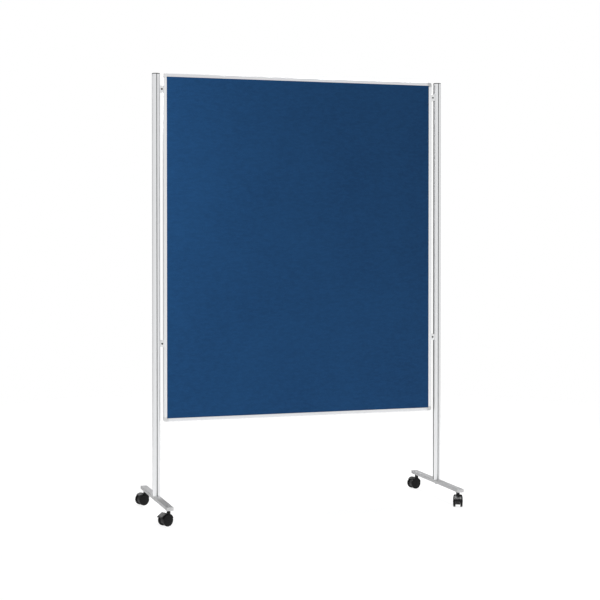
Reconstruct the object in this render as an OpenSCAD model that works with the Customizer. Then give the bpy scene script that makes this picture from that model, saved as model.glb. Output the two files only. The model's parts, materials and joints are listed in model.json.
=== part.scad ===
// Mobile partition wall: a felt pin board in a slim aluminium frame, hung between two slotted
// posts that stand on cross feet with swivel castors. Millimetres. The origin is on the floor
// under the middle of the board, +Z is up and -Y is the front.

/* [Board] */
// Overall width of the framed board
board_w = 1250; // [600:10:1500]
// Overall height of the framed board
board_h = 1500; // [1200:10:1600]
// Height of the board's lower edge above the floor
board_z = 400; // [380:10:500]
// Front to back depth of the frame
frame_d = 20; // [16:1:30]
// Width of the frame's visible face
frame_face = 14; // [12:1:20]
// Outer radius of the frame's rounded corners
corner_r = 9; // [4:1:12]
// Length of each side of a visible corner piece
corner_l = 20; // [18:1:40]
// Thickness of each felt covering
felt_t = 2; // [1:0.5:3]

/* [Posts] */
// Diameter of the round posts
post_d = 34; // [32:1:40]
// Clear gap between a post and the frame
post_gap = 14.5; // [13:0.5:20]
// Width of the mouth of the bracket slot on the board's side
slot_mouth = 8; // [7:0.5:9]
// Width of the three narrow accessory grooves
groove_w = 3.6; // [2.5:0.1:4]
// Thickness of the post caps
cap_t = 4; // [3:0.5:8]

/* [Brackets] */
// Distance from the top of the board to the middle of the upper brackets
bracket_drop = 68; // [50:1:150]
// Distance between the upper and the lower brackets
bracket_pitch = 1095; // [900:5:1100]
// Height of a bracket
bracket_h = 28; // [28:1:40]
// Front to back depth of a bracket
bracket_d = 18; // [17:1:20]

/* [Feet] */
// Overall length of a foot, front to back
foot_l = 530; // [520:10:700]
// Width of the foot tube
foot_w = 30; // [28:1:40]
// Height of the foot tube
foot_h = 15; // [15:1:20]
// Front to back distance between the castor stems of a foot
castor_pitch = 470; // [340:10:480]

/* [Castors] */
// Diameter of the castor wheels
wheel_d = 50; // [50:1:52]
// Width of each wheel of a castor
wheel_w = 11.5; // [10:0.5:13]
// Clear width between the two wheels of a castor
wheel_gap = 21; // [21:0.5:23]
// Horizontal distance from the swivel axis back to the axle
castor_trail = 16; // [15:0.5:18]
// Height of the underside of the feet above the floor
castor_h = 65; // [65:1:70]
// Heading of the trailing side of the left front castor, degrees from +X
left_front_turn = 206; // [0:1:360]
// Heading of the trailing side of the left rear castor
left_rear_turn = 200; // [0:1:360]
// Heading of the trailing side of the right front castor
right_front_turn = 245; // [0:1:360]
// Heading of the trailing side of the right rear castor
right_rear_turn = 192; // [0:1:360]
// Angle by which a released brake pedal stands up from its braked position
pedal_lift = 9; // [4:1:10]

/* [Hidden] */
$fn = 96;

alloy = "silver";
light_grey = "lightgrey";
dark = "#303030";
steel = "#a0a4a8";

eps = 0.01;                        // lets a cut pass clean through a face
slide_gap = 0.3;                   // room between faces that slide past each other
run_gap = 0.05;                    // radial room of a shaft in its bore

// Board
board_top = board_z + board_h;
frame_wall = 1.4;
chamber_w = 5.6;                   // hollow that takes the legs of the corner pieces
web_u = frame_wall + chamber_w;    // start of the web between hollow and panel groove
groove_u = web_u + frame_wall;     // bottom of the panel groove
panel_u = groove_u + 0.4;          // edge of the panel, just clear of the web
panel_t = frame_d - 2 * frame_wall;
leg_gap = 0.2;
leg_l = 28;
edge_r = 1.5;                      // rounding along the frame's outer edges

// Posts
post_r = post_d / 2;
post_x = board_w / 2 + post_gap + post_r;
post_wall = 2.4;
core_r = 7;
core_bore_r = 4;
slot_lip = 3;                      // from the post's surface to the slot's wide chamber
slot_chamber_w = 14.4;
slot_chamber_d = 4.8;
chamber_x = post_r - slot_lip;     // outer side of the wide chamber
groove_depth = 4.2;
foot_top = castor_h + foot_h;
post_top = board_top - cap_t;

// Brackets, clamps and their screws
bracket_x = board_w / 2;           // outer face of the stile, where the bracket sits
bracket_zs = [board_top - bracket_drop - bracket_pitch, board_top - bracket_drop];
clamp_x = bracket_x + post_gap / 2;
shank_r = 3.5;
nut_h = 24;
clamp_r = 4;
clamp_recess = 1.2;
clamp_l = bracket_d / 2 - shank_r - clamp_recess;
screw_dz = 10;                     // the fixing screws sit this far above and below the clamp
screw_r = 2;
screw_head_r = 3.3;
screw_head_l = 3;
screw_seat = 7;                    // wall under a fixing screw's head

// Feet
foot_wall = 1.5;
foot_corner_r = 2.5;
end_cap_t = 2.5;
plug_l = 10;
bolt_r = 4;
bolt_grip = 35;                    // thread engaged in the post's core
washer_r = 8;
washer_t = 1.6;
head_r = 7.5;
head_t = 5.3;

// Castors
wheel_r = wheel_d / 2;
axle_r = 3;
stem_r = 5.5;
socket_r = 8;
socket_flange_r = 10;
socket_flange_t = 1.1;
neck_r = 8;
neck_top = castor_h - socket_flange_t - 0.4;
wheel_bore_l = 9;                  // depth of the wheel's blind bore
tread_w = 8.6;                     // width of the wheel's cylindrical tread, inside its dome
hub_r = 4.2;
hub_proud = 0.5;
hood_half_w = wheel_gap / 2 - 0.4; // half width of the web between the wheels
cover_r = [wheel_r + 1, wheel_r + 3.2];
cover_half_w = 18.5;
cover_front = 165;                 // angle at which the cover ends on the neck side
hood_clear_z = 13;                 // the hood's lowest point above the floor
stem_low = 42;
pedal_pin_r = 1.2;
knuckle_r = 3;
knuckle_half_w = 7.9;
ear_r = 2.3;
pedal_pocket_r = 6;                // room round the knuckle, between the ears
pivot_dx = 4.8;                    // pivot of the pedal, behind and above the axle
pivot_dz = 26.5;
pedal_x = castor_trail + pivot_dx;
pedal_z = wheel_r + pivot_dz;
pedal_half_w = 17;
pedal_slope = 40;                  // fall of the braked blade
blade_t = 2.4;
blade_back = 1.5;                  // blade behind the pivot
blade_l = 30;                      // blade in front of the pivot

// ---------- shared shapes ----------

module rounded_rect(w, h, r) {
    square([w - 2 * r, h], center = true);
    square([w, h - 2 * r], center = true);
    for (x = [-1, 1], y = [-1, 1])
        translate([x * (w / 2 - r), y * (h / 2 - r)]) circle(r = r);
}

// Places its children at both posts, the right hand one turned to face the other way.
module at_post(side) {
    translate([side * post_x, 0, 0]) rotate([0, 0, side > 0 ? 180 : 0]) children();
}

// ---------- posts ----------

// Section of the post. The wide slot faces +X and three narrow grooves face the other ways.
module post_section() {
    difference() {
        union() {
            difference() {
                circle(r = post_r);
                circle(r = post_r - post_wall);
            }
            circle(r = core_r);
            intersection() {
                circle(r = post_r - post_wall / 2);
                union() {
                    translate([0, -slot_chamber_w / 2 - 2])
                        square([post_r, slot_chamber_w + 4]);
                    for (a = [90, 180, 270]) rotate(a) {
                        translate([0, -1.2]) square([post_r, 2.4]);
                        translate([post_r - groove_depth - 2, -groove_w / 2 - 1.8])
                            square([post_r, groove_w + 3.6]);
                    }
                }
            }
        }
        circle(r = core_bore_r);
        translate([chamber_x - eps, -slot_mouth / 2]) square([post_r, slot_mouth]);
        translate([chamber_x - slot_chamber_d, -slot_chamber_w / 2])
            square([slot_chamber_d, slot_chamber_w]);
        for (a = [90, 180, 270]) rotate(a)
            translate([post_r - groove_depth, -groove_w / 2]) square([post_r, groove_w]);
    }
}

module post(side) {
    color(alloy) at_post(side) translate([0, 0, foot_top])
        linear_extrude(post_top - foot_top) post_section();
}

// Low domed cap with a pin that pushes into the post's core.
module post_cap(side) {
    rim_r = 2.5;
    color(dark) at_post(side) translate([0, 0, post_top]) {
        rotate_extrude() {
            square([post_r, cap_t - rim_r]);
            square([post_r - rim_r, cap_t]);
            intersection() {
                translate([post_r - rim_r, cap_t - rim_r]) circle(r = rim_r);
                square([post_r, cap_t]);
            }
        }
        translate([0, 0, -14]) cylinder(r = core_bore_r, h = 14 + eps);
    }
}

// ---------- feet ----------

module foot_section(inset) {
    rounded_rect(foot_w - 2 * inset, foot_h - 2 * inset, foot_corner_r - inset);
}

module along_foot(side, length) {
    translate([side * post_x, length / 2, castor_h + foot_h / 2])
        rotate([90, 0, 0]) linear_extrude(length) children();
}

module foot_bar(side) {
    color(light_grey) difference() {
        along_foot(side, foot_l - 2 * end_cap_t) difference() {
            foot_section(0);
            foot_section(foot_wall);
        }
        translate([side * post_x, 0, castor_h - 1]) cylinder(r = bolt_r, h = foot_h + 2);
        for (y = [-1, 1]) translate([side * post_x, y * castor_pitch / 2, castor_h - 1])
            cylinder(r = socket_r, h = foot_wall + 1.5);
    }
}

// Moulded plugs that close both ends of the tube.
module foot_end_caps(side) {
    color(light_grey) for (y = [-1, 1])
        translate([0, y * (foot_l - end_cap_t) / 2, 0]) {
            along_foot(side, end_cap_t) foot_section(0);
            translate([0, -y * (end_cap_t + plug_l) / 2, 0])
                along_foot(side, plug_l) foot_section(foot_wall);
        }
}

// Bolts that pull the posts down onto the feet.
module foot_bolts() {
    color(steel) for (side = [-1, 1]) translate([side * post_x, 0, 0]) {
        translate([0, 0, castor_h - washer_t - head_t]) cylinder(r = head_r, h = head_t, $fn = 6);
        translate([0, 0, castor_h - washer_t - eps])
            cylinder(r = bolt_r, h = washer_t + foot_h + bolt_grip);
    }
}

module foot_washers() {
    color(steel) for (side = [-1, 1]) translate([side * post_x, 0, castor_h - washer_t])
        difference() {
            cylinder(r = washer_r, h = washer_t);
            translate([0, 0, -1]) cylinder(r = bolt_r, h = washer_t + 2);
        }
}

// Sleeves that keep the tube from being crushed by the bolts.
module foot_spacers() {
    color(steel) for (side = [-1, 1]) translate([side * post_x, 0, castor_h + foot_wall])
        difference() {
            cylinder(r = bolt_r + 3, h = foot_h - 2 * foot_wall);
            translate([0, 0, -1]) cylinder(r = bolt_r, h = foot_h);
        }
}

module at_castor_stems() {
    for (side = [-1, 1], y = [-1, 1])
        translate([side * post_x, y * castor_pitch / 2, 0]) children();
}

module castor_sockets() {
    color(dark) at_castor_stems() difference() {
        union() {
            translate([0, 0, castor_h - socket_flange_t])
                cylinder(r = socket_flange_r, h = socket_flange_t);
            translate([0, 0, castor_h - eps]) cylinder(r = socket_r, h = foot_h - foot_wall);
        }
        translate([0, 0, castor_h - 2]) cylinder(r = stem_r, h = foot_h + 4);
    }
}

module castor_stems() {
    color(steel) at_castor_stems() translate([0, 0, stem_low])
        cylinder(r = stem_r, h = foot_top - foot_wall - stem_low);
}

// ---------- board frame ----------

// Section of the frame: u runs from the outer edge (0) to the panel, v is the depth.
module rail_section() {
    difference() {
        union() {
            translate([edge_r, -frame_d / 2]) square([frame_face - edge_r, frame_d]);
            translate([0, -frame_d / 2 + edge_r]) square([edge_r + eps, frame_d - 2 * edge_r]);
            for (v = [-1, 1]) translate([edge_r, v * (frame_d / 2 - edge_r)]) circle(r = edge_r);
        }
        translate([frame_wall, -panel_t / 2]) square([chamber_w, panel_t]);
        translate([groove_u, -panel_t / 2]) square([frame_face, panel_t]);
    }
}

// A rail with its outer edge on the X axis and its panel groove facing +Z.
module rail(length) {
    translate([-length / 2, 0, 0]) rotate([90, 0, 90]) linear_extrude(length)
        rotate(90) mirror([0, 1]) rail_section();
}

module top_rail() {
    color(alloy) translate([0, 0, board_top]) rotate([0, 180, 0]) rail(board_w - 2 * corner_l);
}

module bottom_rail() {
    color(alloy) translate([0, 0, board_z]) rail(board_w - 2 * corner_l);
}

// Upright of the frame, with clearance holes for the bracket screws.
module stile(side) {
    color(alloy) difference() {
        translate([side * board_w / 2, 0, board_z + board_h / 2])
            rotate([0, -side * 90, 0]) rail(board_h - 2 * corner_l);
        for (z = bracket_zs, s = [-1, 1])
            translate([side * (bracket_x + 1), 0, z + s * screw_dz])
                rotate([0, -side * 90, 0]) cylinder(r = screw_r, h = 1 + frame_wall + 1);
    }
}

// Corner piece, drawn for the lower left corner with its corner point at the origin.
module corner_shape() {
    rotate([90, 0, 0]) difference() {
        translate([0, 0, -frame_d / 2]) linear_extrude(frame_d) difference() {
            union() {
                translate([corner_r, 0]) square([corner_l - corner_r, frame_face]);
                translate([0, corner_r]) square([frame_face, corner_l - corner_r]);
                translate([corner_r, corner_r]) circle(r = corner_r);
                translate([corner_r, corner_r]) square(frame_face - corner_r);
            }
        }
        translate([groove_u, groove_u, -panel_t / 2]) cube([corner_l, corner_l, panel_t]);
    }
    leg = [leg_l + 2, panel_t - 2 * leg_gap, chamber_w - 2 * leg_gap];
    translate([corner_l - 2, -leg.y / 2, frame_wall + leg_gap]) cube(leg);
    translate([frame_wall + leg_gap, -leg.y / 2, corner_l - 2]) cube([leg.z, leg.y, leg.x]);
}

module frame_corner(side, top) {
    color(light_grey)
        translate([side * board_w / 2, 0, top ? board_top : board_z])
            mirror([side > 0 ? 1 : 0, 0, 0]) mirror([0, 0, top ? 1 : 0]) corner_shape();
}

// Slab of the panel's outline between two depths.
module panel_slab(y0, y1) {
    translate([-board_w / 2 + panel_u, y0, board_z + panel_u])
        cube([board_w - 2 * panel_u, y1 - y0, board_h - 2 * panel_u]);
}

module core_panel() {
    color("tan") panel_slab(-panel_t / 2 + felt_t, panel_t / 2 - felt_t);
}

module front_felt() {
    color("#2b5080") panel_slab(-panel_t / 2, -panel_t / 2 + felt_t);
}

module back_felt() {
    color("#2b5080") panel_slab(panel_t / 2 - felt_t, panel_t / 2);
}

// ---------- brackets ----------

// Block between frame and post, hollowed to the post's curve and bored for its three screws.
module bracket(side, z) {
    color(light_grey) translate([0, 0, z]) mirror([side < 0 ? 1 : 0, 0, 0]) difference() {
        translate([bracket_x, -bracket_d / 2, -bracket_h / 2])
            cube([post_gap + post_r / 2, bracket_d, bracket_h]);
        translate([post_x, 0, -bracket_h]) cylinder(r = post_r + slide_gap, h = 2 * bracket_h);
        translate([bracket_x + 2, 0, 0]) rotate([0, 90, 0]) cylinder(r = shank_r, h = post_gap);
        translate([clamp_x, 0, 0]) rotate([90, 0, 0]) cylinder(r = clamp_r, h = bracket_d);
        for (s = [-1, 1]) translate([bracket_x, 0, s * screw_dz]) rotate([0, 90, 0]) {
            translate([0, 0, -1]) cylinder(r = screw_r, h = post_gap);
            translate([0, 0, screw_seat]) cylinder(r = screw_head_r + 0.3, h = post_gap);
        }
    }
}

// Sliding nuts: a wide head inside the post's slot and a shank held in the bracket.
module slot_nuts() {
    head_d = slot_chamber_d - 2 * slide_gap;
    color(steel) for (side = [-1, 1], z = bracket_zs)
        translate([0, 0, z]) mirror([side < 0 ? 1 : 0, 0, 0]) {
            translate([bracket_x + 2, 0, 0]) rotate([0, 90, 0])
                cylinder(r = shank_r, h = post_x - chamber_x + slide_gap + eps - bracket_x - 2);
            translate([post_x - chamber_x + slide_gap, -slot_chamber_w / 2 + 0.5, -nut_h / 2])
                cube([head_d, slot_chamber_w - 1, nut_h]);
        }
}

// Socket screws at the front of the brackets, which lock the shanks of the nuts.
module clamp_screws() {
    socket_af = 3.5;
    color(dark) for (side = [-1, 1], z = bracket_zs)
        translate([side * clamp_x, -bracket_d / 2 + clamp_recess, z]) rotate([-90, 0, 0])
            difference() {
                cylinder(r = clamp_r, h = clamp_l);
                translate([0, 0, -eps]) cylinder(d = socket_af, h = 2.5, $fn = 6);
            }
}

// Screws that fix the brackets to the stiles.
module bracket_screws() {
    color(steel) for (side = [-1, 1], z = bracket_zs, s = [-1, 1])
        translate([side * bracket_x, 0, z + s * screw_dz]) rotate([0, side * 90, 0]) {
            translate([0, 0, -frame_wall - 2])
                cylinder(r = screw_r, h = frame_wall + 2 + screw_seat + eps);
            translate([0, 0, screw_seat]) cylinder(r = screw_head_r, h = screw_head_l);
        }
}

// ---------- castors ----------

// Places its children at a castor, whose trailing side is their +X side.
module at_castor(side, end, turn) {
    translate([side * post_x, end * castor_pitch / 2, 0]) rotate([0, 0, turn]) children();
}

// Turns a shape drawn round the origin in the XY plane onto the castor's axle line.
module on_axle(half_w) {
    translate([castor_trail, half_w, wheel_r]) rotate([90, 0, 0])
        linear_extrude(2 * half_w) children();
}

// Ring sector between two angles, which are less than 180 degrees apart.
module sector(r_in, r_out, a0, a1) {
    reach = 2 * r_out;
    mid = (a0 + a1) / 2;
    difference() {
        intersection() {
            circle(r = r_out);
            polygon([[0, 0], [reach * cos(a0), reach * sin(a0)],
                [reach * cos(mid), reach * sin(mid)], [reach * cos(a1), reach * sin(a1)]]);
        }
        if (r_in > 0) circle(r = r_in);
    }
}

// Lug on the web that holds the pin of the brake pedal.
module pedal_lug() {
    half_w = ear_r - 0.4;
    translate([pivot_dx, pivot_dz]) circle(r = ear_r);
    rotate(atan2(pivot_dz, pivot_dx)) translate([0, -half_w])
        square([norm([pivot_dx, pivot_dz]), 2 * half_w]);
}

// Housing: a web between the wheels, a cover over them and the neck on the swivel axis.
module castor_hood(braked) {
    tail = braked ? 84 : 45;
    color(dark) difference() {
        union() {
            difference() {
                on_axle(hood_half_w) {
                    circle(r = wheel_r - 3);
                    sector(0, cover_r[1], tail, cover_front);
                    if (braked) pedal_lug();
                }
                translate([-wheel_d, -wheel_d, -wheel_r])
                    cube([3 * wheel_d, 2 * wheel_d, wheel_r + hood_clear_z]);
            }
            on_axle(cover_half_w) sector(cover_r[0], cover_r[1], tail, cover_front);
            translate([0, 0, stem_low - 8]) cylinder(r = neck_r, h = neck_top - stem_low + 8);
        }
        translate([0, 0, stem_low - 1]) cylinder(r = stem_r + run_gap, h = castor_h);
        on_axle(hood_half_w + 1) circle(r = axle_r);
        if (braked) {
            translate([pedal_x, knuckle_half_w + slide_gap, pedal_z]) rotate([90, 0, 0])
                cylinder(r = pedal_pocket_r, h = 2 * (knuckle_half_w + slide_gap));
            translate([pedal_x, hood_half_w + 1, pedal_z]) rotate([90, 0, 0])
                cylinder(r = pedal_pin_r, h = 2 * hood_half_w + 2);
        }
    }
}

module castor_axle() {
    color(steel) on_axle(wheel_gap / 2 + wheel_bore_l - slide_gap) circle(r = axle_r);
}

// Wheel with a domed outer face, a small hub and a blind bore; which is 1 or -1 for either side.
module castor_wheel(which) {
    dome_steps = 14;
    dome_w = wheel_w - tread_w;
    hub_angle = acos(hub_r / wheel_r);
    dome = [for (i = [0 : dome_steps]) let (a = hub_angle * i / dome_steps)
        [wheel_r * cos(a), tread_w + dome_w * sin(a)]];
    color(dark) translate([castor_trail, which * wheel_gap / 2, wheel_r]) rotate([-which * 90, 0, 0])
        rotate_extrude() polygon(concat(
            [[axle_r + run_gap, 0.6], [wheel_r - 5, 0.6], [wheel_r - 4, 0], [wheel_r - 0.8, 0],
                [wheel_r, 0.8]],
            dome,
            [[hub_r, wheel_w + hub_proud - 0.3], [hub_r - 0.3, wheel_w + hub_proud],
                [0, wheel_w + hub_proud], [0, wheel_bore_l], [axle_r + run_gap, wheel_bore_l]]
        ));
}

// Foot pedal of a brake: a sloping blade on a knuckle that turns about the pin.
module brake_pedal() {
    inner_n = cover_r[0] - pivot_dx * sin(pedal_slope) - pivot_dz * cos(pedal_slope);
    color(dark) translate([pedal_x, 0, pedal_z]) rotate([0, pedal_slope - pedal_lift, 0])
        difference() {
            union() {
                rotate([90, 0, 0]) translate([0, 0, -knuckle_half_w])
                    cylinder(r = knuckle_r, h = 2 * knuckle_half_w);
                translate([-blade_back, -knuckle_half_w, 0])
                    cube([knuckle_r + 2, 2 * knuckle_half_w, inner_n + blade_t / 2]);
                translate([-blade_back, -pedal_half_w, inner_n])
                    cube([blade_l + blade_back, 2 * pedal_half_w, blade_t]);
                translate([blade_l, pedal_half_w, inner_n + blade_t / 2]) rotate([90, 0, 0])
                    cylinder(r = blade_t / 2, h = 2 * pedal_half_w);
            }
            translate([0, knuckle_half_w + 1, 0]) rotate([90, 0, 0])
                cylinder(r = pedal_pin_r + run_gap, h = 2 * knuckle_half_w + 2);
        }
}

module brake_pin() {
    color(steel) translate([pedal_x, hood_half_w, pedal_z]) rotate([90, 0, 0])
        cylinder(r = pedal_pin_r, h = 2 * hood_half_w);
}

module left_front() { at_castor(-1, -1, left_front_turn) children(); }
module left_rear() { at_castor(-1, 1, left_rear_turn) children(); }
module right_front() { at_castor(1, -1, right_front_turn) children(); }
module right_rear() { at_castor(1, 1, right_rear_turn) children(); }

// ---------- the parts ----------

post(-1);  // left_post
post(1);  // right_post
post_cap(-1);  // left_post_cap
post_cap(1);  // right_post_cap
foot_bar(-1);  // left_foot_bar
foot_bar(1);  // right_foot_bar
foot_end_caps(-1);  // left_foot_end_caps
foot_end_caps(1);  // right_foot_end_caps
foot_bolts();
foot_washers();
foot_spacers();
castor_sockets();
castor_stems();

top_rail();
bottom_rail();
stile(-1);  // left_stile
stile(1);  // right_stile
frame_corner(-1, true);  // top_left_corner
frame_corner(1, true);  // top_right_corner
frame_corner(-1, false);  // bottom_left_corner
frame_corner(1, false);  // bottom_right_corner
core_panel();
front_felt();
back_felt();

bracket(-1, bracket_zs[1]);  // upper_left_bracket
bracket(1, bracket_zs[1]);  // upper_right_bracket
bracket(-1, bracket_zs[0]);  // lower_left_bracket
bracket(1, bracket_zs[0]);  // lower_right_bracket
slot_nuts();
clamp_screws();
bracket_screws();

left_front() castor_hood(true);  // left_front_castor_hood
left_rear() castor_hood(false);  // left_rear_castor_hood
right_front() castor_hood(true);  // right_front_castor_hood
right_rear() castor_hood(false);  // right_rear_castor_hood
left_front() castor_axle();  // left_front_castor_axle
left_rear() castor_axle();  // left_rear_castor_axle
right_front() castor_axle();  // right_front_castor_axle
right_rear() castor_axle();  // right_rear_castor_axle
left_front() castor_wheel(1);  // left_front_wheel_a
left_front() castor_wheel(-1);  // left_front_wheel_b
left_rear() castor_wheel(1);  // left_rear_wheel_a
left_rear() castor_wheel(-1);  // left_rear_wheel_b
right_front() castor_wheel(1);  // right_front_wheel_a
right_front() castor_wheel(-1);  // right_front_wheel_b
right_rear() castor_wheel(1);  // right_rear_wheel_a
right_rear() castor_wheel(-1);  // right_rear_wheel_b
left_front() brake_pedal();  // left_front_brake_pedal
right_front() brake_pedal();  // right_front_brake_pedal
left_front() brake_pin();  // left_front_brake_pin
right_front() brake_pin();  // right_front_brake_pin
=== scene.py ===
"""Looks of the mobile partition wall: a felt pin board in an aluminium frame between two slotted posts.

Every length is in metres, in the frame of the CAD model: the floor is z = 0, the board stands over
the origin, +Z is up and -Y is the front.
"""
import json
import math

import bmesh
import bpy
from mathutils import Matrix, Vector, noise
from mathutils.geometry import tessellate_polygon


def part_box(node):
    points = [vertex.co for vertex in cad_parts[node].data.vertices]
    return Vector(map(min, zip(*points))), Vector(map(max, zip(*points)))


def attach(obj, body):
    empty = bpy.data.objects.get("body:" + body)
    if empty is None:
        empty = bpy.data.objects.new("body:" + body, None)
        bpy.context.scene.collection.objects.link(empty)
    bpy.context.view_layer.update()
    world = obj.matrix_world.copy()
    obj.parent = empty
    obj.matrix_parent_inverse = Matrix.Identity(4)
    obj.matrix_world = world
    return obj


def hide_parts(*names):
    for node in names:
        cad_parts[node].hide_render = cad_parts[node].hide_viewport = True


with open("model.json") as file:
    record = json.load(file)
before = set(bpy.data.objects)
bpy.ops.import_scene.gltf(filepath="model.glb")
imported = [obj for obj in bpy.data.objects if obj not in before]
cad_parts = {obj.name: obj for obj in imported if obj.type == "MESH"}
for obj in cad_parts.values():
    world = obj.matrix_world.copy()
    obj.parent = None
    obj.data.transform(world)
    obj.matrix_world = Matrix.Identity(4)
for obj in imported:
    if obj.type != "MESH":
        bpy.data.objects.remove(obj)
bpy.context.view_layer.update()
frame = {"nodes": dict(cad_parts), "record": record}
NODES = frame["nodes"]
RECORD = frame["record"]
MM = 0.001
SLOT_OF = {part["node"]: part["material_slot"] for part in RECORD["subparts"]}
BODY_OF = {node: body for body, nodes in RECORD["behaviour"]["bodies"].items() for node in nodes}
JOINTS = {joint["name"]: joint for joint in RECORD["behaviour"]["joints"]}


# ---------- node helpers ----------

class Shader:
    """A material with one Principled shader and short ways to add the nodes that drive it."""

    def __init__(self, name, **settings):
        self.mat = bpy.data.materials.new(name)
        self.mat.use_nodes = True
        self.tree = self.mat.node_tree
        self.bsdf = self.tree.nodes["Principled BSDF"]
        for key, value in settings.items():
            self.bsdf.inputs[key.replace("_", " ")].default_value = value
        self.bump_in = None

    def node(self, kind, inputs=(), **props):
        made = self.tree.nodes.new(kind)
        for key, value in props.items():
            setattr(made, key, value)
        for key, value in dict(inputs).items():
            self.put(made.inputs[key], value)
        return made

    def put(self, socket, value):
        if isinstance(value, bpy.types.NodeSocket):
            self.tree.links.new(value, socket)
        else:
            socket.default_value = value

    def coords(self, scale=(1, 1, 1)):
        at = self.node("ShaderNodeTexCoord").outputs["Object"]
        return self.node("ShaderNodeMapping", {"Vector": at, "Scale": scale}).outputs[0]

    def noise(self, at, scale, detail=4.0, roughness=0.5, distortion=0.0):
        return self.node("ShaderNodeTexNoise", {
            "Vector": at, "Scale": scale, "Detail": detail, "Roughness": roughness,
            "Distortion": distortion}).outputs["Fac"]

    def ramp(self, fac, low, high, start=0.0, end=1.0):
        """Maps start..end of fac to low..high, which are numbers or RGB colours."""
        if isinstance(low, (int, float)):
            return self.node("ShaderNodeMapRange", {
                "Value": fac, "From Min": start, "From Max": end,
                "To Min": low, "To Max": high}).outputs[0]
        made = self.node("ShaderNodeValToRGB", {"Fac": fac})
        stops = made.color_ramp.elements
        stops[0].position, stops[1].position = start, end
        stops[0].color, stops[1].color = (*low, 1), (*high, 1)
        return made.outputs["Color"]

    def mix(self, fac, a, b):
        made = self.node("ShaderNodeMix", data_type="RGBA")
        for index, value in ((0, fac), (6, a), (7, b)):
            value = (*value, 1) if isinstance(value, tuple) else value
            self.put(made.inputs[index], value)
        return made.outputs[2]

    def math(self, operation, a, b):
        return self.node("ShaderNodeMath", {0: a, 1: b}, operation=operation).outputs[0]

    def bump(self, height, strength, distance):
        inputs = {"Height": height, "Strength": strength, "Distance": distance}
        if self.bump_in is not None:
            inputs["Normal"] = self.bump_in
        self.bump_in = self.node("ShaderNodeBump", inputs).outputs[0]
        self.put(self.bsdf.inputs["Normal"], self.bump_in)

    def set(self, **sockets):
        for key, value in sockets.items():
            self.put(self.bsdf.inputs[key.replace("_", " ")], value)


# ---------- materials ----------

def anodised(name, along, tint=(0.86, 0.867, 0.878)):
    """Satin anodised extrusion with fine die lines along one axis (0, 1 or 2)."""
    s = Shader(name, Metallic=1.0)
    stretch = [1.0, 1.0, 1.0]
    stretch[along] = 0.004
    lines = s.noise(s.coords(stretch), 2600.0, 3.0, 0.6)
    patch = s.noise(s.coords(), 9.0, 3.0, 0.55)
    darker = tuple(c * 0.94 for c in tint)
    s.set(Base_Color=s.mix(s.ramp(lines, 0.0, 0.35, 0.3, 0.7), tint, darker))
    s.set(Roughness=s.math("ADD", s.ramp(lines, 0.33, 0.43, 0.3, 0.7), s.ramp(patch, -0.03, 0.03)))
    s.bump(lines, 0.12, 0.00005)
    return s.mat


def plastic(name, colour, roughness, gloss=0.5):
    """Moulded plastic with a fine spark-eroded grain."""
    s = Shader(name, IOR=1.5, Specular_IOR_Level=gloss)
    grit = s.noise(s.coords(), 1400.0, 2.0, 0.6)
    cloud = s.noise(s.coords(), 40.0, 3.0, 0.5)
    darker = tuple(c * 0.86 for c in colour)
    s.set(Base_Color=s.mix(cloud, darker, colour))
    s.set(Roughness=s.ramp(cloud, roughness - 0.05, roughness + 0.06, 0.3, 0.7))
    s.bump(grit, 0.08, 0.0001)
    return s.mat


def powder_coat(name, colour):
    """Baked powder paint: orange peel, a fine sparkle of pits and a little dust."""
    s = Shader(name, IOR=1.48)
    peel = s.noise(s.coords(), 420.0, 2.0, 0.5)
    fine = s.noise(s.coords(), 2200.0, 2.0, 0.5)
    cloud = s.noise(s.coords(), 14.0, 4.0, 0.5)
    lighter = tuple(min(1, c * 1.06) for c in colour)
    s.set(Base_Color=s.mix(cloud, colour, lighter))
    s.set(Roughness=s.ramp(cloud, 0.4, 0.5, 0.3, 0.7))
    s.bump(peel, 0.14, 0.0002)
    s.bump(fine, 0.08, 0.0001)
    return s.mat


def steel(name, colour):
    """Plated or bare steel with faint turning marks."""
    s = Shader(name, Metallic=1.0)
    turned = s.noise(s.coords((1, 1, 6)), 900.0, 3.0, 0.6)
    s.set(Base_Color=s.ramp(turned, tuple(c * 0.8 for c in colour), colour, 0.3, 0.7))
    s.set(Roughness=s.ramp(turned, 0.3, 0.45, 0.3, 0.7))
    s.bump(turned, 0.1, 0.00005)
    return s.mat


def felt(name):
    """Needled felt: tangled fibres in every direction over a faint cross weave, with soft sheen."""
    s = Shader(name, Roughness=0.95, Sheen_Weight=0.3, Sheen_Roughness=0.5, Specular_IOR_Level=0.08)
    s.bsdf.inputs["Sheen Tint"].default_value = (0.8, 0.85, 0.95, 1)
    fibres = s.noise(s.coords((1, 1, 0.35)), 1500.0, 5.0, 0.7, 0.6)
    across = s.noise(s.coords((0.25, 1, 1)), 900.0, 4.0, 0.65, 0.3)
    mottle = s.noise(s.coords((0.6, 1, 1.5)), 70.0, 4.0, 0.6)
    cloud = s.noise(s.coords(), 3.0, 3.0, 0.5)
    tone = s.math("ADD", s.math("MULTIPLY", fibres, 0.5), s.math("MULTIPLY", across, 0.5))
    deep, bright = (0.0082, 0.0555, 0.167), (0.0150, 0.0905, 0.246)
    base = s.ramp(tone, deep, bright, 0.36, 0.64)
    base = s.mix(s.ramp(mottle, 0.0, 0.55, 0.35, 0.7), base, tuple(c * 0.82 for c in deep))
    base = s.mix(s.ramp(cloud, 0.0, 0.25, 0.3, 0.7), base, (0.0175, 0.099, 0.266))
    s.set(Base_Color=base)
    s.bump(tone, 0.5, 0.0006)
    s.bump(mottle, 0.12, 0.002)
    return s.mat


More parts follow.
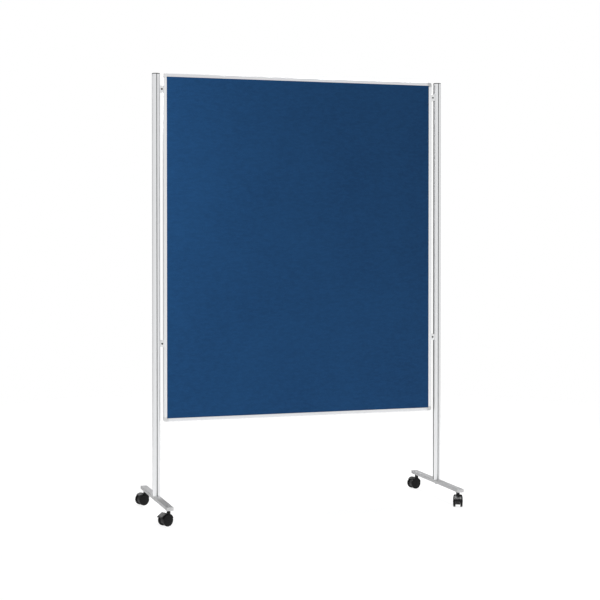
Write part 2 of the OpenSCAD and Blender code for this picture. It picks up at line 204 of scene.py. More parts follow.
def core_board(name):
    """Pressed chips, seen only when the board is taken apart."""
    s = Shader(name, Roughness=0.9)
    chips = s.noise(s.coords(), 500.0, 4.0, 0.6)
    s.set(Base_Color=s.ramp(chips, (0.36, 0.25, 0.14), (0.62, 0.48, 0.31), 0.3, 0.7))
    s.bump(chips, 0.4, 0.0005)
    return s.mat


def make_materials():
    return {
        "alloy_z": anodised("anodised_upright", 2),
        # painted shade: a dark copy of the upright's anodised look, for the walls inside the slots where
        # shadow falls
        "slot": anodised("painted_slot_shade", 2, (0.26, 0.265, 0.27)),
        "alloy_x": anodised("anodised_rail", 0, (0.79, 0.795, 0.81)),
        "corner": plastic("corner_plastic", (0.84, 0.845, 0.85), 0.38),
        "cap": plastic("cap_plastic", (0.022, 0.022, 0.024), 0.5, gloss=0.2),
        "paint": powder_coat("foot_powder_coat", (0.55, 0.55, 0.555)),
        "end_cap": plastic("end_cap_plastic", (0.79, 0.79, 0.795), 0.42),
        "zinc": steel("zinc_steel", (0.62, 0.63, 0.65)),
        "socket": plastic("socket_plastic", (0.030, 0.030, 0.032), 0.5),
        "core": core_board("core_board"),
        "felt": felt("blue_felt"),
        "bracket": anodised("bracket_alloy", 2, (0.84, 0.845, 0.85)),
        "black_steel": plastic("black_steel", (0.012, 0.012, 0.013), 0.45, gloss=0.25),
        "castor": plastic("castor_nylon", (0.0075, 0.0075, 0.008), 0.36, gloss=0.36),
        "wheel": plastic("wheel_nylon", (0.0065, 0.0065, 0.007), 0.36, gloss=0.16),
        "axle": steel("axle_steel", (0.60, 0.61, 0.63)),
    }


MATS = make_materials()
SLOT_LOOKS = {
    "anodised_aluminium": "alloy_z", "corner_plastic": "corner", "cap_plastic": "cap",
    "foot_powder_coat": "paint", "end_cap_plastic": "end_cap", "zinc_steel": "zinc",
    "socket_plastic": "socket", "core_board": "core", "blue_felt": "felt", "bracket_alloy": "bracket",
    "black_steel": "black_steel", "castor_nylon": "castor", "wheel_nylon": "wheel", "axle_steel": "axle",
}


def look_of(node):
    if node in ("top_rail", "bottom_rail"):
        return MATS["alloy_x"]
    return MATS[SLOT_LOOKS[SLOT_OF[node]]]


def dress_cad_nodes():
    """Gives each CAD node the look of its slot in the record."""
    for name, obj in NODES.items():
        obj.data.materials.clear()
        obj.data.materials.append(look_of(name))


# ---------- shape helpers ----------

SHARP = math.radians(32)


def arc(radius, start, end, steps, centre=(0, 0)):
    """Points along an arc between two angles in degrees, both ends included."""
    angles = [math.radians(start + (end - start) * i / steps) for i in range(steps + 1)]
    return [(centre[0] + radius * math.cos(a), centre[1] + radius * math.sin(a)) for a in angles]


def rounded(corners, steps=5):
    """Outline whose corners (x, y, cut) are rounded over the length cut; a cut of 0 stays sharp."""
    outline = []
    for i, (x, y, cut) in enumerate(corners):
        here = Vector((x, y))
        if cut == 0:
            outline.append((x, y))
            continue
        before, after = (Vector(corners[(i + d) % len(corners)][:2]) - here for d in (-1, 1))
        start, end = here + before.normalized() * cut, here + after.normalized() * cut
        for k in range(steps + 1):
            t = k / steps
            outline.append(tuple(start * (1 - t) ** 2 + here * 2 * t * (1 - t) + end * t ** 2))
    return outline


def rectangle(width, height, cut, steps=5):
    x, y = width / 2, height / 2
    return rounded([(-x, -y, cut), (x, -y, cut), (x, y, cut), (-x, y, cut)], steps)


def settle(bm, place):
    """Moves a solid to its place, which may mirror it, and turns its faces outwards."""
    bmesh.ops.transform(bm, matrix=place, verts=bm.verts)
    bmesh.ops.recalc_face_normals(bm, faces=bm.faces)
    return bm


def prism(outline, low, high, holes=(), bevel=0.0, place=Matrix()):
    """Closed solid over an outline in the XY plane, from z = low to high, with its rims bevelled."""
    bm = bmesh.new()
    loops = [list(outline)] + [list(hole) for hole in holes]
    rings = [[[bm.verts.new((x, y, z)) for x, y in loop] for loop in loops] for z in (low, high)]
    if holes:
        flat = tessellate_polygon([[Vector((x, y, 0)) for x, y in loop] for loop in loops])
    for ring in rings:
        verts = [v for loop in ring for v in loop]
        if holes:
            for tri in flat:
                bm.faces.new([verts[i] for i in tri])
        else:
            bm.faces.new(verts)
    for bottom, top in zip(*rings):
        for i in range(len(bottom)):
            j = (i + 1) % len(bottom)
            bm.faces.new((bottom[i], bottom[j], top[j], top[i]))
    bmesh.ops.recalc_face_normals(bm, faces=bm.faces)
    if bevel:
        rims = [e for e in bm.edges if e.calc_face_angle(0) > SHARP]
        bmesh.ops.bevel(bm, geom=rims, offset=bevel, segments=3, profile=0.5, affect="EDGES",
                        clamp_overlap=True)
    return settle(bm, place)


def lathe(profile, steps=96, place=Matrix()):
    """Closed solid turned about Z from (radius, z) points; it starts and ends on the axis."""
    bm = bmesh.new()
    rings = []
    angles = [2 * math.pi * i / steps for i in range(steps)]
    for radius, z in profile:
        if radius == 0:
            rings.append([bm.verts.new((0, 0, z))] * steps)
        else:
            rings.append([bm.verts.new((radius * math.cos(a), radius * math.sin(a), z)) for a in angles])
    for low, high in zip(rings, rings[1:]):
        for i in range(steps):
            j = (i + 1) % steps
            corners = dict.fromkeys((low[i], low[j], high[j], high[i]))
            bm.faces.new(list(corners))
    return settle(bm, place)


def as_object(bm, name="part"):
    mesh = bpy.data.meshes.new(name)
    bm.to_mesh(mesh)
    bm.free()
    obj = bpy.data.objects.new(name, mesh)
    bpy.context.scene.collection.objects.link(obj)
    return obj


def combine(base, steps):
    """The solid base after ("UNION" or "DIFFERENCE", solid) steps in turn, as a bmesh."""
    target = as_object(base)
    tools = []
    for operation, solid in steps:
        tools.append(as_object(solid))
        cut = target.modifiers.new("cut", "BOOLEAN")
        cut.operation, cut.object, cut.solver = operation, tools[-1], "EXACT"
    bpy.context.view_layer.update()
    result = bmesh.new()
    result.from_object(target, bpy.context.evaluated_depsgraph_get())
    for obj in [target] + tools:
        bpy.data.objects.remove(obj)
    return result


def piece(name, solids, *nodes):
    """One visible piece made of closed solids, which stands for CAD nodes and rides on their body."""
    whole = bmesh.new()
    for bm in solids:
        mesh = bpy.data.meshes.new("part")
        bm.to_mesh(mesh)
        bm.free()
        whole.from_mesh(mesh)
        bpy.data.meshes.remove(mesh)
    obj = as_object(whole, name)
    obj.data.shade_smooth()
    obj.data.set_sharp_from_angle(angle=SHARP)
    obj.data.materials.append(look_of(nodes[0]))
    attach(obj, BODY_OF[nodes[0]])
    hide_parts(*nodes)
    return obj


def shift(x, y, z):
    return Matrix.Translation((x, y, z))


def turn(degrees, axis):
    return Matrix.Rotation(math.radians(degrees), 4, axis)


# ---------- posts ----------

SLOT_MOUTH, SLOT_LIP, SLOT_CHAMBER_W, SLOT_CHAMBER_D = 8 * MM, 3 * MM, 14.4 * MM, 4.8 * MM
GROOVE_W, GROOVE_DEPTH = 3.6 * MM, 4.2 * MM
MOUTH_EDGE, MOUTH_DEPTH = 0.35 * MM, 0.7 * MM
MOUTH_MARGIN = 3    # degrees from the edge of a mouth to the first point of the round part
ROUND_STEPS = 22


def post_outline(radius):
    """Post section with the wide slot at +X and narrow grooves at the other three quarters."""
    corners = []
    for quarter in range(4):
        wide = quarter == 0
        half = (SLOT_MOUTH if wide else GROOVE_W) / 2
        rim = radius * math.cos(math.asin(half / radius))
        if wide:
            inner, back = radius - SLOT_LIP, radius - SLOT_LIP - SLOT_CHAMBER_D
            side = SLOT_CHAMBER_W / 2
            cut = [(inner, half, 0), (inner, side, 0), (back, side, 0)]
        else:
            cut = [(radius - GROOVE_DEPTH, half, 0)]
        lower = [(rim, -half, MOUTH_EDGE)] + [(x, -y, c) for x, y, c in cut]
        upper = [(x, y, c) for x, y, c in reversed(cut)] + [(rim, half, MOUTH_EDGE)]
        start = math.degrees(math.asin(half / radius)) + MOUTH_MARGIN
        next_half = GROOVE_W / 2 if quarter < 3 else SLOT_MOUTH / 2
        end = 90 - math.degrees(math.asin(next_half / radius)) - MOUTH_MARGIN
        round_part = [(x, y, 0) for x, y in arc(radius, start, end, ROUND_STEPS)]
        spin = Matrix.Rotation(math.radians(90 * quarter), 2)
        for x, y, c in lower + upper + round_part:
            corners.append((*(spin @ Vector((x, y))), c))
    return rounded(corners, 4)


def paint_slot_shade(post, axis, radius):
    """Puts painted shade on the walls inside the slots: a dark copy of the anodised look that stands in
    for the shadow deep in them.
    """
    post.data.materials.append(MATS["slot"])
    for face in post.data.polygons:
        from_axis = Vector((face.center.x - axis.x, face.center.y - axis.y)).length
        upright = abs(face.normal.z) < 0.5
        if upright and from_axis < radius - MOUTH_DEPTH:
            face.material_index = 1


def make_post(side):
    """Slotted post, and its cap with a fine shadow gap below, a rounded rim and a low crown."""
    node = side + "_post"
    low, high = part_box(node)
    cap_low, cap_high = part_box(node + "_cap")
    middle = (cap_low + cap_high) / 2
    radius = (cap_high.x - cap_low.x) / 2
    place = shift(middle.x, middle.y, 0) @ turn(180 if side == "right" else 0, "Z")
    post = piece(node + "_profile", [prism(post_outline(radius), low.z, high.z, place=place)], node)
    paint_slot_shade(post, middle, radius)
    rim, crown, gap = 1.5 * MM, 0.4 * MM, 0.25 * MM
    base, top = high.z, cap_high.z
    edge = arc(rim, 0, 80, 7, (radius - rim, top - rim - crown))
    profile = [(0, base), (radius - gap, base), (radius - gap, base + gap), (radius, base + gap)]
    profile += edge + [(radius * 0.5, top - crown * 0.25), (0, top)]
    cap = lathe(profile, 96, shift(middle.x, middle.y, 0))
    piece(node + "_cap_turned", [cap], node + "_cap")


# ---------- board ----------

LIP_T, GROOVE_FLOOR, FRAME_EDGE, LIP_EDGE = 1.4 * MM, 8.4 * MM, 1.5 * MM, 0.35 * MM
SEAM = 0.12 * MM
CORNER_R, CORNER_STEPS = 9 * MM, 10


def frame_corners(face, depth):
    """Frame section: u from the outer edge to the panel, v through the depth."""
    v, inner = depth / 2, depth / 2 - LIP_T
    half = [(0, -v, FRAME_EDGE), (face, -v, LIP_EDGE),
            (face, -inner, LIP_EDGE), (GROOVE_FLOOR, -inner, 0)]
    return half + [(u, -w, c) for u, w, c in reversed(half)]


def make_rail(node, outward):
    """Straight piece of the frame; outward is the direction in which its outer edge points."""
    low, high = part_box(node)
    size, middle = high - low, (low + high) / 2
    outward = Vector(outward)
    face, length = (size.z, size.x) if outward.z else (size.x, size.z)
    across = Vector((0, 1, 0))
    along = (-outward).cross(across)
    edge = middle + outward * face / 2
    axes = Matrix((-outward, across, along)).transposed().to_4x4()
    outline = rounded(frame_corners(face, size.y))
    place = Matrix.Translation(edge) @ axes
    piece(node + "_profile", [prism(outline, -length / 2, length / 2, place=place)], node)


def make_corner(side, end):
    """Corner piece: the frame's section swept round the corner, with a square inner corner."""
    node = f"{end}_{side}_corner"
    stile_low, stile_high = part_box(side + "_stile")
    rail_low, rail_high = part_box(end + "_rail")
    face, depth = rail_high.z - rail_low.z, rail_high.y - rail_low.y
    reach = rail_low.x - stile_low.x if side == "left" else stile_high.x - rail_high.x
    arm = reach - SEAM
    outline = rounded(frame_corners(face, depth))

    def swept(where, u, v):
        """Where a point of the section comes at one ring: at the ends of the arms or in the turn."""
        if where == "first":
            return arm, v, u
        if where == "last":
            return u, v, arm
        if u >= CORNER_R:
            return u, v, u
        a = math.radians(270 - 90 * where / CORNER_STEPS)
        out = CORNER_R - u
        return CORNER_R + out * math.cos(a), v, CORNER_R + out * math.sin(a)

    bm = bmesh.new()
    rings = []
    for where in ["first"] + list(range(CORNER_STEPS + 1)) + ["last"]:
        rings.append([bm.verts.new(swept(where, u, v)) for u, v in outline])
    for one, two in zip(rings, rings[1:]):
        for i in range(len(one)):
            j = (i + 1) % len(one)
            bm.faces.new((one[i], one[j], two[j], two[i]))
    for closing in (rings[0], rings[-1]):
        bm.faces.new(closing)
    nothing = 1e-7
    bmesh.ops.remove_doubles(bm, verts=bm.verts, dist=nothing)
    bmesh.ops.dissolve_degenerate(bm, edges=bm.edges, dist=nothing)
    corner = Vector((stile_low.x if side == "left" else stile_high.x, 0,
                     rail_high.z if end == "top" else rail_low.z))
    flip = Matrix.Diagonal((1 if side == "left" else -1, 1, -1 if end == "top" else 1, 1))
    piece(node + "_swept", [settle(bm, Matrix.Translation(corner) @ flip)], node)


FELT_PITCH = 11 * MM
FELT_BORDER = (0, 0.4, 1, 2, 3.5, 5.2, 6, 7, 8.5, 11, 15)    # mm from the edge
FELT_RELIEF, CALM_W = 0.3 * MM, 20 * MM
LIP_REACH, PRESS_D, PRESS_W = 5.2 * MM, 0.45 * MM, 2.2 * MM
ROLL_D, ROLL_W = 0.6 * MM, 1.2 * MM
WAVES_PER_M, TUFTS_PER_M = 6, 45


def felt_stops(length):
    """Grid lines across the felt, close together where it is rolled in and pressed at the frame."""
    border = [d * MM for d in FELT_BORDER]
    inner = length - 2 * border[-1]
    count = round(inner / FELT_PITCH)
    middle = [border[-1] + inner * i / count for i in range(1, count)]
    return border + middle + [length - d for d in reversed(border)]


def felt_depth(x, z, from_edge):
    """How far the felt's face lies behind the flat sheet: long waves and tufts, which calm down
    towards the edge, a strip pressed in by the frame's lip and a rolled edge."""
    wave = noise.fractal(Vector((x * WAVES_PER_M, z * WAVES_PER_M, 3.7)), 1.0, 2.0, 3)
    tuft = noise.fractal(Vector((x * TUFTS_PER_M, z * TUFTS_PER_M, 9.1)), 0.8, 2.1, 3)
    relief = FELT_RELIEF * min(1, max(0, 0.4 + 0.35 * wave + 0.25 * tuft))
    pressed = PRESS_D * math.exp(-max(0, from_edge - LIP_REACH) / PRESS_W)
    rolled = ROLL_D * max(0, 1 - from_edge / ROLL_W) ** 2
    return relief * min(1, from_edge / CALM_W) + pressed + rolled


def make_felt(which, outward):
    """Closed 2 mm sheet of felt; outward is -1 for the front and 1 for the back."""
    node = which + "_felt"
    low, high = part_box(node)
    width, height = high.x - low.x, high.z - low.z
    face, back = (low.y, high.y) if outward < 0 else (high.y, low.y)
    xs = felt_stops(width)
    zs = felt_stops(height)
    bm = bmesh.new()
    layers = []
    for outer in (True, False):
        grid = []
        for x in xs:
            column = []
            for z in zs:
                edge = min(x, width - x, z, height - z)
                y = face - outward * felt_depth(low.x + x, low.z + z, edge) if outer else back
                column.append(bm.verts.new((low.x + x, y, low.z + z)))
            grid.append(column)
        layers.append(grid)
    for grid in layers:
        for i in range(len(xs) - 1):
            for j in range(len(zs) - 1):
                bm.faces.new((grid[i][j], grid[i + 1][j], grid[i + 1][j + 1], grid[i][j + 1]))
    last_i, last_j = len(xs) - 1, len(zs) - 1
    rim = [(i, 0) for i in range(last_i)] + [(last_i, j) for j in range(last_j)]
    rim += [(i, last_j) for i in range(last_i, 0, -1)] + [(0, j) for j in range(last_j, 0, -1)]
    for (i, j), (k, m) in zip(rim, rim[1:] + rim[:1]):
        a, b = layers
        bm.faces.new((a[i][j], a[k][m], b[k][m], b[i][j]))
    bmesh.ops.recalc_face_normals(bm, faces=bm.faces)
    sheet = piece(node + "_sheet", [bm], node)


# ---------- brackets ----------

BRACKET_GAP, BORE_END = 0.3 * MM, 2 * MM
CLAMP_R, CLAMP_RECESS, CLAMP_L, CLAMP_GAP = 4 * MM, 1.2 * MM, 4.3 * MM, 0.05 * MM


def make_bracket(level, side):
    """Block between frame and post, hollowed to the post's curve and bored for its clamp screw."""
    node = f"{level}_{side}_bracket"
    low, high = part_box(node)
    cap_low, cap_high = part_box(side + "_post_cap")
    post = (cap_low + cap_high) / 2
    radius = (cap_high.x - cap_low.x) / 2 + BRACKET_GAP
    facing = -1 if side == "left" else 1
    root = high.x if side == "left" else low.x
    half = (high.y - low.y) / 2
    reach = abs(post.x - root)
    bow = math.degrees(math.asin(half / radius))
    hollow = arc(radius, 180 + bow, 180 - bow, 16, (reach, 0))
    outline = [(0, half), (0, -half)] + hollow
    place = shift(root, 0, (low.z + high.z) / 2) @ Matrix.Diagonal((facing, 1, 1, 1))
    tall = (high.z - low.z) / 2
    block = prism(outline, -tall, tall, bevel=0.7 * MM, place=place)
    mouth = 0.25 * MM
    bore_profile = [(0, -half - MM), (CLAMP_R + mouth + MM, -half - MM), (CLAMP_R + mouth, -half),
                    (CLAMP_R, -half + mouth), (CLAMP_R, -BORE_END), (0, -BORE_END)]
    clamp_x = (reach - radius + BRACKET_GAP) / 2
    along_y = place @ shift(clamp_x, 0, 0) @ turn(-90, "X")
    bore = lathe(bore_profile, 48, along_y)
    piece(node + "_block", [combine(block, [("DIFFERENCE", bore)])], node)
    return along_y, half


def make_clamp_screws(places):
    """Dark socket screws, sunk a little in the mouths of the brackets' bores."""
    screws = []
    chamfer, flats, socket_depth = 0.35 * MM, 4 * MM, 2.5 * MM
    for place, half in places:
        front = -half + CLAMP_RECESS
        radius = CLAMP_R - CLAMP_GAP
        profile = [(0, front), (CLAMP_R - chamfer, front), (radius, front + chamfer),
                   (radius, front + CLAMP_L), (0, front + CLAMP_L)]
        hexagon = arc(flats / math.sqrt(3), 0, 300, 5)
        body = lathe(profile, 48, place)
        socket = prism(hexagon, front - MM, front + socket_depth, place=place)
        screws.append(combine(body, [("DIFFERENCE", socket)]))
    piece("clamp_screws_turned", screws, "clamp_screws")


# ---------- feet ----------

FOOT_WALL, FOOT_EDGE = 1.5 * MM, 2.6 * MM
PLUG_SEAM, PLUG_DEPTH, PLUG_OVERLAP = 0.15 * MM, 8 * MM, 0.5 * MM


def make_foot(side):
    """Rectangular tube and the two moulded plugs that close it."""
    bar, caps = side + "_foot_bar", side + "_foot_end_caps"
    low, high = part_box(bar)
    cap_low, cap_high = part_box(caps)
    size, middle = high - low, (low + high) / 2
    outer = rectangle(size.x, size.z, FOOT_EDGE, 6)
    inner = rectangle(size.x - 2 * FOOT_WALL, size.z - 2 * FOOT_WALL, FOOT_EDGE - FOOT_WALL, 6)
    along = Matrix.Translation(middle) @ turn(-90, "X")
    tube = prism(outer, -size.y / 2, size.y / 2, [inner], place=along)
    piece(bar + "_tube", [tube], bar)
    plugs = []
    near, far = size.y / 2 + PLUG_SEAM, (cap_high.y - cap_low.y) / 2
    for place in (along @ turn(180, "X"), along):
        plugs.append(prism(outer, near, far, bevel=0.8 * MM, place=place))
        plugs.append(prism(inner, near - PLUG_DEPTH, near + PLUG_OVERLAP, place=place))
    piece(caps + "_moulded", plugs, caps)


# ---------- castors ----------

# Angles are in degrees round the axle, from the trailing side up and over to the neck.
COVER_GAP, COVER_T, COVER_HALF_W = 1 * MM, 2.2 * MM, 18.5 * MM
COVER_FRONT, TAIL_BRAKED, TAIL_PLAIN = 165, 84, 45
WEB_HALF_W, WEB_INSET, WEB_CLEAR = 10.1 * MM, 3 * MM, 13 * MM
NECK_R, NECK_DROP, STEM_R, STEM_LOW = 8 * MM, 7 * MM, 5.55 * MM, 41 * MM
RIB_GAP = 0.05 * MM
PIVOT = Vector((4.8 * MM, 26.5 * MM))
EAR_R, POCKET_R, POCKET_HALF_W = 2.3 * MM, 6 * MM, 8.2 * MM
TREAD_W, WHEEL_W, HUB_R, HUB_PROUD, WHEEL_GAP = 8.6 * MM, 11.5 * MM, 4.2 * MM, 0.5 * MM, 21 * MM
RING_AT, RING_HALF_W, RING_D = 15.5 * MM, 0.45 * MM, 0.4 * MM
PEDAL_SLOPE, PEDAL_LIFT, BLADE_T, BLADE_BACK, BLADE_L = 40, 9, 2.4 * MM, 1.5 * MM, 31.2 * MM
PEDAL_HALF_W, KNUCKLE_R, KNUCKLE_HALF_W = 17 * MM, 3 * MM, 7.9 * MM
GRIP_R, GRIP_PITCH, GRIP_MARGIN, GRIP_SUNK = 0.7 * MM, 2.6 * MM, 4 * MM, 0.45 * MM


def castor_frame(corner):
    """(place, trail, wheel radius): place has its origin on the floor under the stem, X trailing."""
    stem = Vector(JOINTS[corner + "_swivel_turn"]["pos_m"])
    axle_joint = JOINTS[corner + "_wheel_a_spin"]
    axle = Vector(axle_joint["pos_m"])
    across = Vector(axle_joint["axis"])
    back = Vector((axle.x - stem.x, axle.y - stem.y, 0))
    axes = Matrix((back.normalized(), across, Vector((0, 0, 1)))).transposed().to_4x4()
    return shift(stem.x, stem.y, 0) @ axes, back.length, axle.z


def sector(inner, outer, start, end, steps=20):
    """Outline of a part of a ring between two angles."""
    return arc(outer, start, end, steps) + arc(inner, end, start, steps)


def make_hood(corner, braked):
    """Housing of a castor: web between the wheels, cover over them and neck round the stem."""
    node = corner + "_castor_hood"
    place, trail, radius = castor_frame(corner)
    upright = place @ shift(trail, 0, radius) @ turn(90, "X")
    inner, outer = radius + COVER_GAP, radius + COVER_GAP + COVER_T
    tail = TAIL_BRAKED if braked else TAIL_PLAIN
    disc_r = radius - WEB_INSET
    floor = math.degrees(math.asin((radius - WEB_CLEAR) / disc_r))
    disc = prism(arc(disc_r, -floor, 180 + floor, 60), -WEB_HALF_W, WEB_HALF_W, bevel=0.5 * MM,
                 place=upright)
    rib_half = WEB_HALF_W - RIB_GAP
    rib = prism(sector(disc_r * 0.4, outer - RIB_GAP, tail, COVER_FRONT), -rib_half, rib_half,
                bevel=0.3 * MM, place=upright)
    band = prism(sector(inner, outer, tail, COVER_FRONT, 28), -COVER_HALF_W, COVER_HALF_W,
                 bevel=0.8 * MM, place=upright)
    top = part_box(node)[1].z
    neck_low = STEM_LOW - NECK_DROP
    neck = lathe([(0, neck_low), (NECK_R - MM, neck_low), (NECK_R, neck_low + MM),
                  (NECK_R, top - 3 * MM), (NECK_R - 0.8 * MM, top - 0.6 * MM),
                  (NECK_R - 1.4 * MM, top), (0, top)], 64, place)
    steps = [("UNION", rib), ("UNION", band), ("UNION", neck)]
    if braked:
        lug = prism(arc(EAR_R, -170, 170, 30, PIVOT) + [tuple(PIVOT * 0.3)], -rib_half, rib_half,
                    place=upright)
        pocket = prism(arc(POCKET_R, 0, 354, 59, PIVOT), -POCKET_HALF_W, POCKET_HALF_W, place=upright)
        steps += [("UNION", lug), ("DIFFERENCE", pocket)]
    stem = lathe([(0, STEM_LOW), (STEM_R, STEM_LOW), (STEM_R, top + MM), (0, top + MM)], 48, place)
    steps.append(("DIFFERENCE", stem))
    piece(node + "_moulded", [combine(disc, steps)], node)


def make_wheel(corner, which):
    """Wheel with a domed face, a ring groove and a small hub."""
    name = f"{corner}_wheel_{which}"
    place, trail, radius = castor_frame(corner)
    outward = -90 if which == "a" else 90
    offset = WHEEL_GAP / 2 * (1 if which == "a" else -1)
    place = place @ shift(trail, offset, radius) @ turn(outward, "X")

    def dome(r):
        return TREAD_W + (WHEEL_W - TREAD_W) * math.sqrt(max(0, 1 - (r / radius) ** 2))

    hollow, edge, step = 0.6 * MM, 0.8 * MM, 0.25 * MM
    inner_side = [(0, hollow), (radius - 5 * MM, hollow), (radius - 4 * MM, 0)]
    tread = arc(edge, -90, 0, 3, (radius - edge, edge))
    tread += [(radius, TREAD_W - 0.5 * MM), (radius - step, TREAD_W - 0.3 * MM), (radius - step, TREAD_W)]
    radii = [radius * math.cos(math.radians(angle)) for angle in range(9, 88, 6)]
    face = [(r, dome(r)) for r in radii if r > HUB_R + 1.2 * MM and abs(r - RING_AT) > 2 * RING_HALF_W]
    for side in (-1, 1):
        lip, bed = RING_AT + side * RING_HALF_W, RING_AT + side * RING_HALF_W / 2
        face += [(lip, dome(lip)), (bed, dome(bed) - RING_D)]
    face.sort(reverse=True)
    base, top = dome(HUB_R), WHEEL_W + HUB_PROUD
    hub = [(HUB_R + 0.7 * MM, base - 0.1 * MM), (HUB_R + 0.3 * MM, base - 0.5 * MM),
           (HUB_R, base - 0.4 * MM), (HUB_R, top - 0.4 * MM),
           (HUB_R - 0.15 * MM, top - 0.12 * MM), (HUB_R - 0.5 * MM, top), (0, top)]
    piece(name + "_turned", [lathe(inner_side + tread + face + hub, 96, place)], name)


def make_pedal(corner):
    """Brake pedal: a rounded blade with grip ribs on a knuckle that turns about the pin."""
    node = corner + "_brake_pedal"
    place, trail, radius = castor_frame(corner)
    tilt = math.radians(PEDAL_SLOPE)
    inner = radius + COVER_GAP - PIVOT.x * math.sin(tilt) - PIVOT.y * math.cos(tilt)
    place = place @ shift(trail + PIVOT.x, 0, radius + PIVOT.y) @ turn(PEDAL_SLOPE - PEDAL_LIFT, "Y")
    middle = (BLADE_L - BLADE_BACK) / 2
    length = BLADE_L + BLADE_BACK
    blade = prism(rectangle(length, 2 * PEDAL_HALF_W, 3.5 * MM, 8), inner, inner + BLADE_T,
                  bevel=0.7 * MM, place=place @ shift(middle, 0, 0))
    barrel = prism(arc(KNUCKLE_R, 0, 350, 35), -KNUCKLE_HALF_W, KNUCKLE_HALF_W,
                   place=place @ turn(90, "X"))
    neck_reach = KNUCKLE_R + 2 * MM
    neck = prism(rectangle(neck_reach + BLADE_BACK, 2 * KNUCKLE_HALF_W, 0.5 * MM), 0,
                 inner + BLADE_T / 2, place=place @ shift((neck_reach - BLADE_BACK) / 2, 0, 0))
    steps = [("UNION", neck), ("UNION", barrel)]
    grip_half = PEDAL_HALF_W - GRIP_MARGIN
    for k in (1, 2):
        at = shift(BLADE_L - k * GRIP_PITCH, 0, inner + BLADE_T - GRIP_SUNK)
        grip = prism(arc(GRIP_R, 0, 330, 11), -grip_half, grip_half, place=place @ at @ turn(90, "X"))
        steps.append(("UNION", grip))
    piece(node + "_moulded", [combine(blade, steps)], node)


# ---------- floor, light and camera ----------

def make_floor():
    """A pale disc that fades out at its rim, so no edge or horizon shows."""
    bpy.ops.mesh.primitive_circle_add(vertices=96, radius=7, fill_type="TRIFAN")
    floor = bpy.context.object
    floor.name = "floor"
    s = Shader("floor_white", Roughness=0.9, Specular_IOR_Level=0.0, Emission_Strength=0.88)
    s.bsdf.inputs["Emission Color"].default_value = (1, 1, 1, 1)
    s.set(Base_Color=(0.32, 0.32, 0.32, 1))
    radius = s.node("ShaderNodeVectorMath", {0: s.coords()}, operation="LENGTH").outputs["Value"]
    s.set(Alpha=s.ramp(radius, 1.0, 0.0, 1.2, 4.5))
    floor.data.materials.append(s.mat)


def area_light(name, azimuth, elevation, distance, size, radiance, tall=1.0, glossy=False,
               aim=(0, 0, 1.0)):
    """A soft light of even radiance round the object, at an azimuth counted like the views (0 is the
    front); it is tall times higher than wide."""
    aim = Vector(aim)
    a, e = math.radians(azimuth), math.radians(elevation)
    away = Vector((math.sin(a) * math.cos(e), -math.cos(a) * math.cos(e), math.sin(e)))
    data = bpy.data.lights.new(name, "AREA")
    data.shape, data.size, data.size_y = "RECTANGLE", size, size * tall
    data.energy = radiance * math.pi * size * size * tall
    light = bpy.data.objects.new(name, data)
    bpy.context.scene.collection.objects.link(light)
    light.location = aim + away * distance
    light.rotation_mode = "QUATERNION"
    light.rotation_quaternion = away.to_track_quat("Z", "Y")
    light.visible_glossy = glossy
    light.visible_camera = False


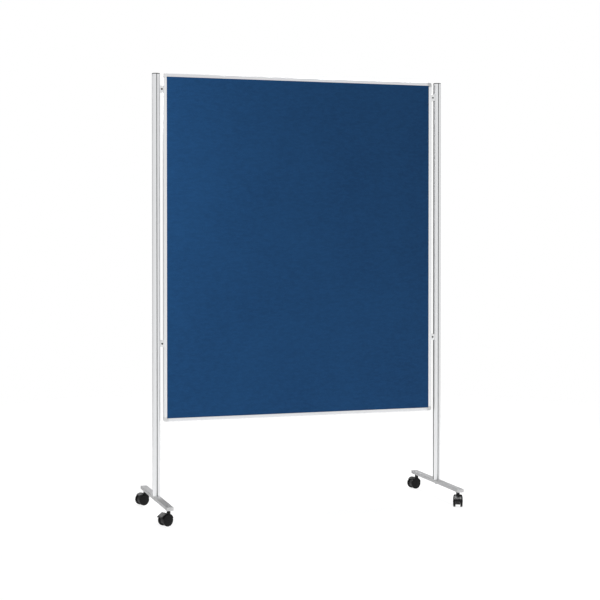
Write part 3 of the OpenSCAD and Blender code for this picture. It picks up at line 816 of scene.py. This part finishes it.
def make_world():
    """White where the camera looks past the object; in the metal shows a white studio that is a
    little darker behind the object and overhead."""
    world = bpy.data.worlds.new("studio")
    bpy.context.scene.world = world
    world.use_nodes = True
    tree = world.node_tree
    tree.nodes.clear()
    kinds = {"out": "OutputWorld", "seen": "Background", "lit": "Background", "pick": "MixShader",
             "path": "LightPath", "at": "TexCoord", "dot": "VectorMath", "fade": "MapRange"}
    n = {key: tree.nodes.new("ShaderNode" + kind) for key, kind in kinds.items()}
    n["dot"].operation = "DOT_PRODUCT"
    brightest = math.radians(-10)
    n["dot"].inputs[1].default_value = (math.sin(brightest), -math.cos(brightest), -0.1)
    n["fade"].inputs["From Min"].default_value = -0.9
    n["fade"].inputs["From Max"].default_value = 0.2
    n["fade"].inputs["To Min"].default_value = 0.62
    n["fade"].inputs["To Max"].default_value = 1.1
    n["seen"].inputs["Color"].default_value = (1, 1, 1, 1)
    link = tree.links.new
    link(n["at"].outputs["Generated"], n["dot"].inputs[0])
    link(n["dot"].outputs["Value"], n["fade"].inputs["Value"])
    link(n["fade"].outputs[0], n["lit"].inputs["Strength"])
    link(n["path"].outputs["Is Camera Ray"], n["pick"].inputs["Fac"])
    link(n["lit"].outputs[0], n["pick"].inputs[1])
    link(n["seen"].outputs[0], n["pick"].inputs[2])
    link(n["pick"].outputs[0], n["out"].inputs["Surface"])
    world.cycles_visibility.diffuse = False    # the lamps and the floor alone light what is matt


def make_lights():
    area_light("key", -62, 14, 1.35, 0.4, 2.8, tall=4.5, aim=(0, 0, 1.2))
    area_light("fill", 8, 30, 6.0, 4.0, 2.5)
    area_light("back_fill", 170, 12, 6.0, 4.0, 1.3)
    area_light("back", 192, 31, 5.0, 1.2, 5.0, glossy=True, aim=(-0.65, 0.23, 0.05))
    area_light("top", 156, 73, 4.4, 1.25, 20.0, glossy=True, aim=(0.65, -0.23, 0.05))


def make_camera():
    """Camera in front of the wall and to its left, at chest height; it looks almost level."""
    heading, tilt = math.radians(18.16), math.radians(-0.80)
    data = bpy.data.cameras.new("camera")
    data.sensor_width = 36
    data.lens = 84.0
    data.shift_y = -0.08
    camera = bpy.data.objects.new("camera", data)
    bpy.context.scene.collection.objects.link(camera)
    camera.location = (-1.945, -5.914, 1.216)
    camera.rotation_euler = (math.pi / 2 + tilt, 0, -heading)
    bpy.context.scene.camera = camera


dress_cad_nodes()
for side in ("left", "right"):
    make_post(side)
    make_foot(side)
    for end in ("top", "bottom"):
        make_corner(side, end)
make_rail("top_rail", (0, 0, 1))
make_rail("bottom_rail", (0, 0, -1))
make_rail("left_stile", (-1, 0, 0))
make_rail("right_stile", (1, 0, 0))
make_felt("front", -1)
make_felt("back", 1)
bores = [make_bracket(level, side) for level in ("upper", "lower") for side in ("left", "right")]
make_clamp_screws(bores)
for corner in ("left_front", "left_rear", "right_front", "right_rear"):
    braked = corner + "_brake_pedal" in NODES
    make_hood(corner, braked)
    make_wheel(corner, "a")
    make_wheel(corner, "b")
    if braked:
        make_pedal(corner)
make_floor()
make_world()
make_lights()
make_camera()
bpy.context.scene.view_settings.view_transform = "Standard"

bpy.context.view_layer.update()
